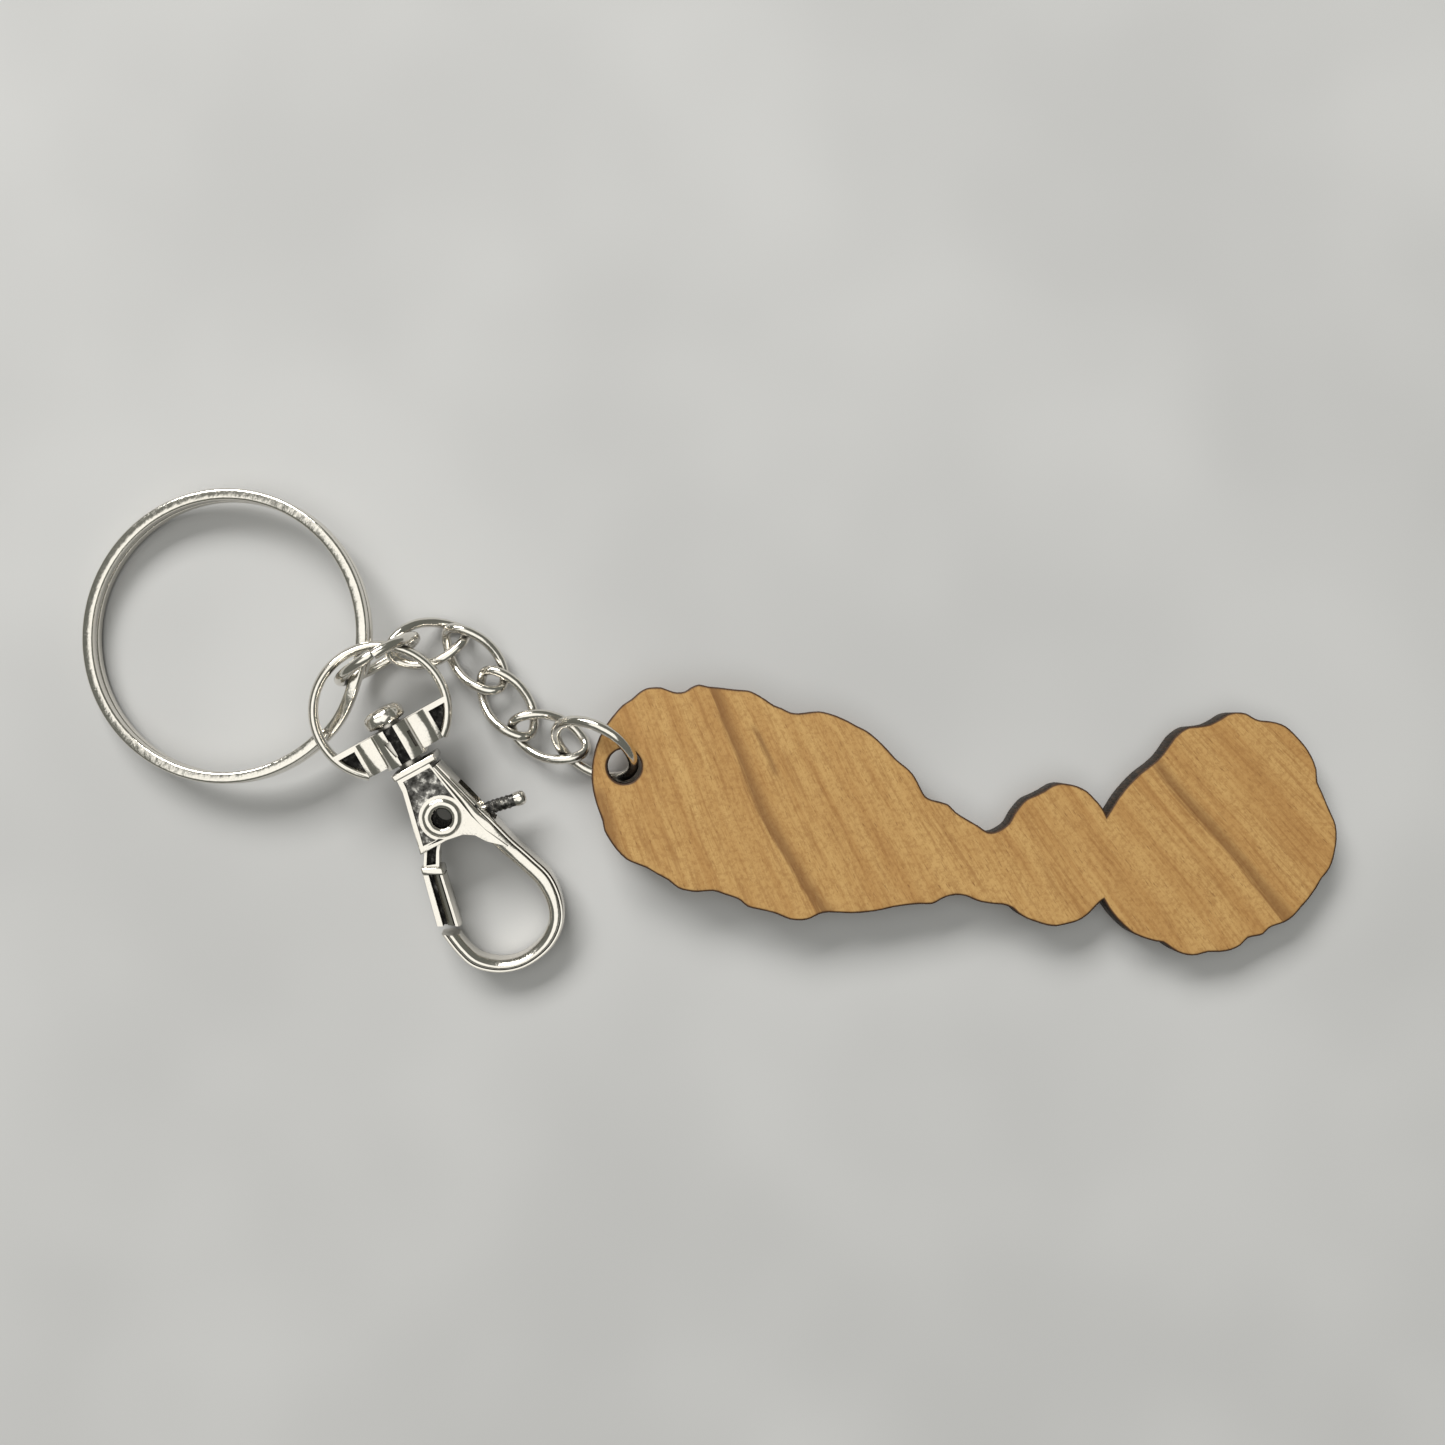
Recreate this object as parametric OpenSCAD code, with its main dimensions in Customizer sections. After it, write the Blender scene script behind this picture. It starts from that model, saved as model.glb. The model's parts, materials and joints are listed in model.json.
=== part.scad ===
// Keychain: a split ring, a swivel trigger clasp and a short curb chain with a flat
// wooden charm, all gathered on one connector ring.
// Millimetres, +Z up. The keychain lies on the plane z = 0, and the origin is the
// centre of the rectangle it covers there. +X runs from the split ring to the charm.

/* [Charm] */
// Thickness of the wooden board
charm_t = 3; // [2.4:0.1:3.2]
// Diameter of the hole that the charm ring passes through
charm_hole_d = 3.5; // [3.2:0.1:4]

/* [Rings] */
// Outside diameter of the split ring
split_od = 30.1; // [29:0.1:30.5]
// Radial width of the split ring's flattened wire
split_wire_w = 1.2; // [1:0.1:1.4]
// Height of one turn of the split ring's wire
split_wire_h = 1.15; // [0.9:0.05:1.15]
// Mean diameter of the connector ring and of the charm ring
ring_mean_d = 8.6; // [8.4:0.1:8.8]
// Wire diameter of the connector ring and of the charm ring
ring_wire = 1.1; // [0.9:0.05:1.1]

/* [Chain] */
// Wire diameter of the chain links
link_wire = 1; // [0.8:0.05:1]
// Twist of each end of a link about its long axis, in degrees
link_twist = 38; // [30:1:42]

/* [Clasp] */
// Outside radius of the round eye
eye_r = 7.1; // [6.9:0.1:7.2]
// Thickness of the eye's rim
eye_t = 1.7; // [1.4:0.1:1.8]
// Thickness of the clasp's housing, across both cheeks
housing_t = 4.4; // [4:0.1:4.6]
// Thickness of the hook
hook_t = 3; // [2.6:0.1:3]
// Width of the slot between the cheeks
slot_t = 2.5; // [2.4:0.1:2.6]
// Outside diameter of the tubular pivot rivet's heads
pivot_head_d = 3.9; // [3.6:0.1:4]

/* [Hidden] */
fine = 96;
over = 1;         // how far a cutter runs past the face it cuts
gap = 0.05;       // running clearance round a pin

// ---------- where each piece lies: [centre, turn about X, Y and Z] ----------
split_place = [[-49.15, 9.73, 2.73], [0, -6.06, -14.5]];
connector_place = [[-33.3, 7.33, 4.85], [90, 0, 31]];
charm_ring_place = [[-11.5, -1.8, 4.145], [56.2, 0, -27]];
charm_place = [[-8.5, -3.49, 2.44], [0, 1.93, 0]];
clasp_place = [[-32.78, 2.05, 5.78], [0, 8.13, -61.3]];
eye_roll = -4;    // the eye has turned this far on the swivel
link_places = [
    [[-28.73, 9.13, 2.24], [-8, 17, 16]],
    [[-24.06, 7.46, 1.7], [7, 2, -48]],
    [[-20.7, 2.87, 1.7], [-3, -2, -55]],
    [[-16.38, -0.57, 1.7], [-3, 0.9, -19.6]]
];

// ---------- general geometry ----------
function along(p, i, t) =
    let(
        a = p[max(i - 1, 0)],
        b = p[i],
        c = p[i + 1],
        d = p[min(i + 2, len(p) - 1)]
    )
    0.5 * (2 * b + (c - a) * t + (2 * a - 5 * b + 4 * c - d) * t * t
        + (3 * b - a - 3 * c + d) * t * t * t);

// A smooth open curve through all the points, with "steps" pieces between neighbours
function smooth(p, steps) = [
    for (i = [0 : len(p) - 2], k = [0 : steps - 1]) along(p, i, k / steps),
    p[len(p) - 1]
];

function unit(v) = v / norm(v);
function reversed(v) = [for (i = [len(v) - 1 : -1 : 0]) v[i]];

module placed(place) {
    translate(place[0]) rotate(place[1]) children();
}

// A round wire along "path". "out" holds one vector per point that leans away from
// the inside of the bend; the wire's rings of corners are turned to it.
module wire(path, out, r, sides, closed) {
    n = len(path);
    function before(i) = closed ? path[(i + n - 1) % n] : path[max(i - 1, 0)];
    function after(i) = closed ? path[(i + 1) % n] : path[min(i + 1, n - 1)];
    function ring_of(i) =
        let(
            run = unit(after(i) - before(i)),
            side = unit(out[i] - (out[i] * run) * run),
            up = cross(run, side)
        )
        [for (k = [0 : sides - 1]) let(a = 360 * k / sides) path[i] + r * (cos(a) * side + sin(a) * up)];
    corners = [for (i = [0 : n - 1]) each ring_of(i)];
    bands = closed ? n : n - 1;
    skin = [
        for (i = [0 : bands - 1], k = [0 : sides - 1])
            let(
                a = i * sides + k,
                b = i * sides + (k + 1) % sides,
                c = ((i + 1) % n) * sides + (k + 1) % sides,
                d = ((i + 1) % n) * sides + k
            )
            each [[c, b, a], [d, c, a]]
    ];
    start_cap = [[for (k = [0 : sides - 1]) k]];
    end_cap = [[for (k = [sides - 1 : -1 : 0]) (n - 1) * sides + k]];
    polyhedron(corners, closed ? skin : concat(skin, start_cap, end_cap));
}

// ---------- charm ----------
// The outline, in the keychain's own X and Y, runs counter-clockwise in two stretches
// that meet at two sharp notches. The first stretch is the long leg of the shape.
charm_leg = [
    [40.4, -8.6], [39.9, -7.7], [39.2, -6.9], [38.4, -6.1], [37.4, -5.6], [36.6, -5.4],
    [35.7, -5.3], [34.9, -5.5], [34.1, -6], [33.1, -6.5], [32.2, -6.9], [31.5, -7.6],
    [30.9, -8.4], [30.4, -9.3], [29.8, -9.8], [29, -10.2], [28.2, -10.2], [27.3, -9.6],
    [26.1, -8.9], [25, -8.2], [24.2, -7.4], [23.1, -7.1], [22.2, -6.8], [21.7, -6.3],
    [21.1, -5.1], [20.6, -4.3], [19.9, -3.6], [19, -2.9], [18.1, -1.9], [17, -0.8], [16, 0],
    [15, 0.5], [14.1, 1], [13, 1.5], [12.1, 1.8], [11.1, 2], [10, 1.9], [9, 1.8], [8.2, 1.9],
    [7.4, 2.3], [6.6, 2.6], [5.7, 3.2], [4.7, 3.8], [3.9, 4.1], [2.6, 4.2], [1, 4.4],
    [-0.1, 4.5], [-1, 4.7], [-1.8, 4.4], [-2.4, 4], [-3.2, 3.9], [-4, 4.1], [-4.8, 4.4],
    [-5.6, 4.4], [-6.3, 4.3], [-7, 3.9], [-7.8, 3.2], [-8.7, 2.6], [-9.5, 1.7], [-10.2, 0.8],
    [-11, -0.6], [-11.5, -2.1], [-11.75, -3.6], [-11.75, -5.2], [-11.5, -6.6], [-11.1, -7.9],
    [-10.7, -9], [-10.5, -10], [-10, -10.9], [-9.3, -11.9], [-8.3, -12.9], [-7.2, -13.4],
    [-6.2, -13.8], [-5.2, -14.4], [-4.1, -15], [-3.1, -15.8], [-2.1, -16.1], [-1.1, -16.2],
    [0.4, -16.1], [1.4, -16.4], [2.6, -16.8], [3.2, -17.1], [3.9, -17.7], [5.1, -18],
    [6.4, -18.3], [7.2, -18.6], [8.2, -19], [9.4, -19.1], [10.3, -18.9], [11.1, -18.5],
    [12.1, -18.3], [14.4, -18.4], [16, -18.3], [17.4, -18.1], [18.7, -17.8], [20.1, -17.6],
    [21.4, -17.5], [22.6, -17.5], [23.4, -17.1], [24, -16.8], [25, -16.6], [26, -16.7],
    [26.7, -17], [27.5, -17.3], [28.7, -17.5], [29.8, -17.6], [30.7, -17.9], [31.4, -18.5],
    [32.2, -19], [33.3, -19.4], [34.3, -19.7], [35.2, -19.8], [36.3, -19.6], [37.4, -19.3],
    [38.4, -18.7], [39.2, -17.9], [39.8, -17.3], [40.1, -17.1]
];
// The second stretch is the round lobe at the far end.
charm_lobe = [
    [40.1, -17.1], [40.7, -18.1], [41.4, -19], [42.3, -19.9], [43.2, -20.6], [44.4, -21.1],
    [45.5, -21.4], [46.2, -21.5], [46.9, -22], [47.7, -22.5], [48.7, -22.8], [49.7, -22.8],
    [50.8, -22.5], [52, -22.5], [53.2, -22.3], [54.2, -21.8], [54.9, -21.1], [55.8, -20.9],
    [56.5, -20.7], [57.1, -20.1], [57.8, -19.8], [58.7, -19.5], [59.6, -18.9], [60.4, -18],
    [61.2, -17.1], [62, -16], [62.5, -15.1], [63.1, -14.4], [63.6, -13.5], [63.9, -12.3],
    [64.1, -11], [64, -9.6], [63.6, -8.6], [63.1, -7.5], [62.6, -6.3], [62.1, -5.2],
    [62, -3.9], [61.5, -2.6], [60.8, -1.5], [60, -0.6], [59.2, 0.2], [58.4, 0.7], [57.2, 1],
    [56.1, 1.1], [55.4, 1.4], [54.7, 1.8], [53.7, 1.9], [52.8, 1.7], [52, 1.2], [51, 0.7],
    [49.9, 0.5], [48.9, 0.4], [48.1, 0], [47.3, -0.7], [46.6, -1.7], [45.9, -2.6],
    [45, -3.4], [43.8, -4.3], [42.7, -5.4], [41.7, -6.6], [41, -7.7], [40.4, -8.6]
];
charm_steps = 2;
charm_hole_at = [-8.5, -3.55];

module charm() {
    color([0.74, 0.57, 0.36])
    placed(charm_place)
    difference() {
        linear_extrude(charm_t)
            translate(-charm_hole_at)
            polygon(concat(smooth(charm_leg, charm_steps), smooth(charm_lobe, charm_steps)));
        translate([0, 0, -over])
            cylinder(d = charm_hole_d, h = charm_t + 2 * over, $fn = fine);
    }
}

// ---------- jump rings ----------
ring_cut = 0.12;      // width of the saw cut where a ring's ends meet
connector_cut = 83.6; // where round the connector ring its cut is, from its local X
charm_ring_cut = 250;

module jump_ring(cut_angle) {
    difference() {
        rotate_extrude($fn = fine)
            translate([ring_mean_d / 2, 0])
            circle(d = ring_wire, $fn = 32);
        rotate([0, 0, cut_angle])
            translate([ring_mean_d / 2, 0, 0])
            cube([2 * ring_wire, ring_cut, 2 * ring_wire], center = true);
    }
}

module connector_ring() {
    color([0.82, 0.82, 0.8])
    placed(connector_place)
    jump_ring(connector_cut);
}

module charm_ring() {
    color([0.82, 0.82, 0.8])
    placed(charm_ring_place)
    jump_ring(charm_ring_cut);
}

// ---------- chain ----------
link_half_length = 4;     // of the wire's centre line
link_half_width = 2.15;
link_rings = 32;
link_sides = 10;

// The centre line is an ellipse whose two ends are turned opposite ways about X
function link_point(t) =
    let(turn = -link_twist * cos(t), y = link_half_width * sin(t))
    [link_half_length * cos(t), y * cos(turn), y * sin(turn)];

module chain_link(number) {
    path = [for (i = [0 : link_rings - 1]) link_point(360 * i / link_rings)];
    color([0.8, 0.8, 0.78])
    placed(link_places[number - 1])
    wire(path, path, link_wire / 2, link_sides, true);
}

// ---------- split ring ----------
split_r = (split_od - split_wire_w) / 2;
crossing = 24;        // angle over which the wire climbs from one turn to the other
crossing_at = 128;    // where round the ring the middle of that climb is
crossing_steps = 5;
crossing_lap = 0.4;   // angle by which each step runs into the next
split_corner = 0.22;  // chamfer on the wire's edges
split_roll = -142;    // the ring has slid round this far, and the eye hides its crossing

module split_section() {
    w = split_wire_w / 2;
    h = split_wire_h / 2;
    c = split_corner;
    polygon([
        [-w + c, -h], [w - c, -h], [w, -h + c], [w, h - c],
        [w - c, h], [-w + c, h], [-w, h - c], [-w, -h + c]
    ]);
}

// A stretch of the wire from one angle, over a span, with its middle at height z
module split_stretch(from, span, z) {
    translate([0, 0, z])
        rotate([0, 0, from])
        rotate_extrude(angle = span, $fn = 2 * fine)
        translate([split_r, 0])
        split_section();
}

module split_ring() {
    color([0.83, 0.83, 0.81])
    placed(split_place)
    rotate([0, 0, split_roll]) {
        for (level = [-0.5, 0.5])
            split_stretch(crossing_at + crossing / 2, 360 - crossing, level * split_wire_h);
        for (i = [1 : crossing_steps]) {
            share = i / (crossing_steps + 1);
            span = crossing / crossing_steps;
            split_stretch(
                crossing_at - crossing / 2 + (i - 1) * span - crossing_lap,
                span + 2 * crossing_lap,
                (share - 0.5) * split_wire_h
            );
        }
    }
}

// ---------- clasp ----------
// Clasp pieces are drawn in the clasp's own frame: the origin is the centre of the
// round eye, +X runs along the swivel to the hook and +Y is the side of the spine.
module in_clasp(roll = 0) {
    placed(clasp_place) rotate([roll, 0, 0]) children();
}

eye_rim = 1;          // width of the rim
eye_chamfer = 0.2;    // on the rim's edges
bar_x = 1.7;          // straight edge that closes the opening
eye_end_x = 5.25;     // flat end of the eye, towards the hook
collar_half = 3.95;   // half the collar's width
collar_t = 2.6;
barrel_r = 2.3;
barrel_end_x = 5.6;   // the barrel stands out past the flat end
shank_r = 1.2;
pocket_r = 6.5;
pocket_x = 2.3;
pocket_web = 0.5;     // thickness left between the two pockets
window_w = 1.1;
window_depth = 0.7;

// The round rim, with its edges chamfered
module eye_rim_ring() {
    outer = eye_r;
    inner = eye_r - eye_rim;
    h = eye_t / 2;
    c = eye_chamfer;
    rotate_extrude($fn = 2 * fine)
        polygon([
            [inner + c, -h], [outer - c, -h], [outer, -h + c], [outer, h - c],
            [outer - c, h], [inner + c, h], [inner, h - c], [inner, -h + c]
        ]);
}

// The solid part of the eye between the bar's edge and the flat end
module eye_web() {
    linear_extrude(eye_t, center = true)
        intersection() {
            circle(r = eye_r - eye_rim / 2, $fn = 2 * fine);
            translate([bar_x, -eye_r]) square([eye_end_x - bar_x, 2 * eye_r]);
        }
}

// Three-cornered pocket between the collar and the rim, on one side of one face
module eye_pocket() {
    translate([0, 0, pocket_web / 2])
        linear_extrude(eye_t)
        intersection() {
            circle(r = pocket_r, $fn = 2 * fine);
            translate([pocket_x, collar_half + 0.25]) square(pocket_r);
        }
}

module swivel_eye() {
    color([0.84, 0.84, 0.82])
    in_clasp(eye_roll)
    difference() {
        union() {
            intersection() {
                eye_rim_ring();
                translate([-eye_r, -eye_r, -eye_t])
                    cube([eye_r + eye_end_x, 2 * eye_r, 2 * eye_t]);
            }
            eye_web();
            translate([pocket_x, -collar_half, -collar_t / 2])
                cube([eye_end_x - pocket_x, 2 * collar_half, collar_t]);
            translate([bar_x, 0, 0])
                rotate([0, 90, 0])
                cylinder(r = barrel_r, h = barrel_end_x - bar_x, $fn = fine);
        }
        translate([bar_x - over, 0, 0])
            rotate([0, 90, 0])
            cylinder(r = shank_r + gap, h = barrel_end_x - bar_x + 2 * over, $fn = fine);
        for (face = [0, 1], side = [0, 1])
            mirror([0, 0, face])
                mirror([0, side, 0])
                eye_pocket();
        for (face = [-1, 1])
            translate([(bar_x + barrel_end_x) / 2, 0, face * barrel_r])
                cube([barrel_end_x - bar_x + 2 * over, window_w, 2 * window_depth], center = true);
    }
}

head_r = 2.1;
head_x = [-0.35, 1.4];
flange_x = [6.1, 6.8];
stem_end_x = 8;

module swivel_rivet() {
    color([0.86, 0.86, 0.84])
    in_clasp() {
        translate([head_x[0], 0, 0])
            rotate([0, 90, 0])
            cylinder(r = head_r, h = head_x[1] - head_x[0], $fn = fine);
        translate([head_x[1], 0, 0])
            rotate([0, 90, 0])
            cylinder(r = shank_r, h = stem_end_x - head_x[1], $fn = fine);
    }
}

pivot_at = [12.16, 0.3];
pivot_r = 1.4;
pivot_bore_r = 1.1;
pivot_head_t = 0.35;
boss_r = 2.25;
recess_depth = 0.35;

// Half thickness of the casting along X: full over the cheeks, thinner at the hook
taper_x = [14, 19];
hook_far_x = 31;

// Centre line of the spine and the hook: [x, y, half the width]
hook_line = [
    [14.6, 3.3, 0.9], [17.9, 4.45, 0.95], [20.5, 5.3, 0.95], [22.9, 5.95, 0.95],
    [25.4, 5.75, 0.85], [27.4, 4.75, 0.8], [28.8, 2.75, 0.75], [29.25, 0, 0.68],
    [28.55, -2.35, 0.7], [26.95, -4.15, 0.75], [25, -4.85, 0.75], [22.5, -5.17, 0.75]
];
hook_steps = 4;
// The hook's tip is cut off along the gate's end, across this region's long side
tip_cut = [[22.15, -6.9], [24, -3.53], [21.5, -3.5], [21.5, -6.9]];

housing_outline = [
    [6.6, -1.7], [8.1, -1.8], [14.4, -3.4], [14.35, -0.4], [14.65, 1.3], [15.3, 2.3],
    [16.4, 3], [18, 3.55], [17.9, 5.35], [15.8, 4.8], [6.6, 2.5]
];
flange_y = [-2, 2.8];
cheek_recess = [
    [7.5, -1.25], [13.8, -2.75], [13.9, -1], [12.2, 0.3], [10.5, 1.3], [9, 1.7], [7.5, 1.6]
];
// The slot reaches out past the spine for the thumb lever and past the arch for the arm
gate_slot = [
    [9.7, -1.6], [12.6, -2.36], [12.7, -5], [18, -5], [18, 0.5], [14.9, 1.2],
    [15, 2.2], [15, 7], [9.9, 7], [9.9, 2.5], [9.7, 2.2]
];

function hook_normal(c, i) =
    let(run = c[min(i + 1, len(c) - 1)] - c[max(i - 1, 0)])
    unit([-run[1], run[0]]);

function hook_edge(c, side) = [
    for (i = [0 : len(c) - 1]) [c[i][0], c[i][1]] + side * c[i][2] * hook_normal(c, i)
];

module hook_outline() {
    line = smooth(hook_line, hook_steps);
    polygon(concat(hook_edge(line, 1), reversed(hook_edge(line, -1))));
}

// The flat castings' outlines, each raised to the full thickness
module casting() {
    linear_extrude(housing_t, center = true) polygon(housing_outline);
    linear_extrude(housing_t, center = true)
        difference() {
            hook_outline();
            polygon(tip_cut);
        }
    translate([flange_x[0], flange_y[0], -housing_t / 2])
        cube([flange_x[1] - flange_x[0], flange_y[1] - flange_y[0], housing_t]);
}

// Side view of the casting, used to trim the flat outline to its thickness
module casting_side() {
    rotate([90, 0, 0])
        linear_extrude(4 * eye_r, center = true)
        polygon([
            [0, housing_t / 2], [taper_x[0], housing_t / 2], [taper_x[1], hook_t / 2],
            [hook_far_x, hook_t / 2], [hook_far_x, -hook_t / 2], [taper_x[1], -hook_t / 2],
            [taper_x[0], -housing_t / 2], [0, -housing_t / 2]
        ]);
}

module hook_body() {
    color([0.8, 0.8, 0.78])
    in_clasp()
    difference() {
        intersection() {
            casting();
            casting_side();
        }
        linear_extrude(slot_t, center = true) polygon(gate_slot);
        for (face = [0, 1])
            mirror([0, 0, face])
                translate([0, 0, housing_t / 2 - recess_depth])
                linear_extrude(over)
                difference() {
                    polygon(cheek_recess);
                    translate(pivot_at) circle(r = boss_r, $fn = fine);
                }
        translate([pivot_at[0], pivot_at[1], -housing_t])
            cylinder(r = pivot_r, h = 2 * housing_t, $fn = fine);
        translate([flange_x[0] - over, 0, 0])
            rotate([0, 90, 0])
            cylinder(r = shank_r, h = stem_end_x - flange_x[0] + over, $fn = fine);
    }
}

module pivot_rivet() {
    color([0.88, 0.88, 0.86])
    in_clasp()
    translate([pivot_at[0], pivot_at[1], 0])
    difference() {
        union() {
            cylinder(r = pivot_r, h = housing_t, center = true, $fn = fine);
            for (face = [0, 1])
                mirror([0, 0, face])
                    translate([0, 0, housing_t / 2])
                    cylinder(d = pivot_head_d, h = pivot_head_t, $fn = fine);
        }
        cylinder(r = pivot_bore_r, h = 2 * housing_t, center = true, $fn = fine);
    }
}

gate_t = 2.3;           // thickness of the gate between the cheeks
arm_t = 3;              // thickness of the arm, outside the cheeks
hub_r = 2.1;
hub_top = 0.15;         // above this height the hub makes room for the spring
spring_room_r = 2.2;
lever_r = 0.7;
lever_from = [13.2, 1.6];
lever_tip = [14.55, 8.1];
lever_nose = 0.3;
neck_outline = [
    [11.2, -1.55], [14.4, -3.1], [15.8, -4], [16.5, -2.6], [15.1, -1.8], [13.9, -0.8]
];
arm_outline = [[15.6, -4.25], [21.65, -5.85], [22.85, -3.7], [16.65, -2.3]];
arm_groove = [[16.9, -3.7], [21.9, -5], [22.5, -3.95], [17.3, -2.8]];
groove_depth = 0.6;

// The thumb lever stands along +Z here, with its edge rounded off in a short cone
module lever_rod(length) {
    cylinder(r = lever_r, h = length, $fn = fine);
    translate([0, 0, length])
        cylinder(r1 = lever_r, r2 = lever_r - lever_nose, h = lever_nose, $fn = fine);
}

module gate() {
    lever = lever_tip - lever_from;
    color([0.78, 0.78, 0.76])
    in_clasp()
    difference() {
        union() {
            translate([pivot_at[0], pivot_at[1], -gate_t / 2])
                cylinder(r = hub_r, h = hub_top + gate_t / 2, $fn = fine);
            linear_extrude(gate_t, center = true) polygon(neck_outline);
            linear_extrude(arm_t, center = true) polygon(arm_outline);
            translate([lever_from[0], lever_from[1], 0])
                rotate([0, 0, atan2(lever[1], lever[0])])
                rotate([0, 90, 0])
                lever_rod(norm(lever));
        }
        translate([pivot_at[0], pivot_at[1], -gate_t])
            cylinder(r = pivot_r + gap, h = 2 * gate_t, $fn = fine);
        translate([pivot_at[0], pivot_at[1], hub_top])
            cylinder(r = spring_room_r, h = gate_t, $fn = fine);
        for (face = [0, 1])
            mirror([0, 0, face])
                translate([0, 0, arm_t / 2 - groove_depth])
                linear_extrude(arm_t)
                polygon(arm_groove);
    }
}

spring_r = 1.78;
spring_wire = 0.3;
spring_turns = 2.25;
spring_z = [0.32, 1.06];
spring_leg = 1.1;
spring_rings_per_turn = 18;

function spring_point(i, n) =
    let(a = 360 * spring_turns * i / n)
    [spring_r * cos(a), spring_r * sin(a), spring_z[0] + (spring_z[1] - spring_z[0]) * i / n];

module gate_spring() {
    n = spring_turns * spring_rings_per_turn;
    coil = [for (i = [0 : n]) spring_point(i, n)];
    last_angle = 360 * spring_turns;
    first_leg = coil[0] + spring_leg * [0, -1, 0];
    last_leg = coil[len(coil) - 1] + spring_leg * [-sin(last_angle), cos(last_angle), 0];
    path = concat([first_leg], coil, [last_leg]);
    color([0.6, 0.6, 0.6])
    in_clasp()
    translate([pivot_at[0], pivot_at[1], 0])
    wire(path, [for (p = path) [p[0], p[1], 0]], spring_wire / 2, 8, false);
}

// ---------- the keychain ----------
charm();
charm_ring();
chain_link(1);  // chain_link_1
chain_link(2);  // chain_link_2
chain_link(3);  // chain_link_3
chain_link(4);  // chain_link_4
connector_ring();
split_ring();
swivel_eye();
swivel_rivet();
hook_body();
pivot_rivet();
gate();
gate_spring();
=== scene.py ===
"""Looks of the keychain: nickel-plated rings, chain and trigger clasp, and a wooden charm.

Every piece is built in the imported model's own frame, in metres. Sizes of pieces are written in
millimetres, and MM turns them into metres. Places and sizes of the floor and the lights are in
metres. Clasp pieces are drawn in the clasp's own plane, with X along the swivel towards the hook,
Y towards the spine and Z out of the plane.
"""

import json
import math

import bmesh
import bpy
import numpy as np
from mathutils import Matrix, Vector, noise


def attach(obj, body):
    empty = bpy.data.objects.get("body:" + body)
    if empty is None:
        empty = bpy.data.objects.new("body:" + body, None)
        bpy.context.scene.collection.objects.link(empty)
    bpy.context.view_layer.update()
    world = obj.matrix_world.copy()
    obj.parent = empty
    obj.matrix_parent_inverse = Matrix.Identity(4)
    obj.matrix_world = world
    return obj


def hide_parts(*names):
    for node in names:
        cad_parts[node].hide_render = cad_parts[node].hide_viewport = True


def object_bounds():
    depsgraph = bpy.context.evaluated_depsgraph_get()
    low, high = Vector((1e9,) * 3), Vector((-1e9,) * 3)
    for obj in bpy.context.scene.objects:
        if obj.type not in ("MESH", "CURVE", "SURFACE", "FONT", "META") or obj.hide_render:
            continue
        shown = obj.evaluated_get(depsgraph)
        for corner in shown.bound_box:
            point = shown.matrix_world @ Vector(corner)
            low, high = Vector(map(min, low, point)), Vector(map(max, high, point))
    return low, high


MM = 0.001

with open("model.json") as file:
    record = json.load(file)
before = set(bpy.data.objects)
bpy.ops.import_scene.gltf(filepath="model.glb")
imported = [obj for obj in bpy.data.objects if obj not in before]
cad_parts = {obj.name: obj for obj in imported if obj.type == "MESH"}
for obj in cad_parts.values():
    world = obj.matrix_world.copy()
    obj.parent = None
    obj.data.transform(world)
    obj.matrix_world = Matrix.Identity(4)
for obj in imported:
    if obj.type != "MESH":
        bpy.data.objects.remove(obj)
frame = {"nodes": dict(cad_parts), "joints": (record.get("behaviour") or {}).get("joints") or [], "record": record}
cad_low, cad_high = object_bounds()
joints = {j["name"]: j for j in frame["joints"]}
body_of_node = {
    node: body
    for body, nodes in frame["record"]["behaviour"]["bodies"].items()
    for node in nodes
}


# ---------- frames of the pieces ----------


def axes_matrix(origin, x_axis, z_axis):
    """A matrix whose X and Z point along these directions, with its origin in metres."""
    z = Vector(z_axis).normalized()
    x = Vector(x_axis)
    x = (x - x.dot(z) * z).normalized()
    y = z.cross(x)
    turned = Matrix((x, y, z)).transposed().to_4x4()
    return Matrix.Translation(Vector(origin)) @ turned


def node_points(node):
    """The corner points of a CAD node, in metres."""
    mesh = frame["nodes"][node].data
    return np.array([v.co for v in mesh.vertices])


def principal_matrix(node):
    """The frame of a symmetric piece: longest way along X, shortest along Z."""
    points = node_points(node)
    centre = points.mean(axis=0)
    directions = np.linalg.eigh(np.cov((points - centre).T))[1]
    return axes_matrix(centre, directions[:, 2], directions[:, 0])


def ring_matrix(node):
    """The frame of a jump ring: Z through the hole, X level and towards the charm."""
    points = node_points(node)
    centre = (points.min(axis=0) + points.max(axis=0)) / 2
    spread = np.cov((points - points.mean(axis=0)).T)
    normal = Vector(np.linalg.eigh(spread)[1][:, 0])
    level = Vector((0, 0, 1)).cross(normal)
    if level.x < 0:
        level, normal = -level, -normal
    return axes_matrix(centre, level, normal)


def joint_matrix(joint, x_towards):
    """A frame at a hinge: Z along its axis and X as near as it can be to x_towards."""
    return axes_matrix(joints[joint]["pos_m"], x_towards, joints[joint]["axis"])


clasp = axes_matrix(
    joints["clasp_swivel"]["pos_m"],
    joints["clasp_swivel"]["axis"],
    joints["gate_hinge"]["axis"],
)
EYE_ROLL = math.radians(-4)
eye_frame = clasp @ Matrix.Rotation(EYE_ROLL, 4, "X")


# ---------- mesh making ----------

MERGE_DISTANCE = 1e-5               # points nearer than this, in millimetres, become one
SHARP_CORNER = math.radians(32)     # carved rounds the edges that turn more than this


def clamped(share):
    """A share kept between 0 and 1."""
    return min(max(share, 0), 1)


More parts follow.
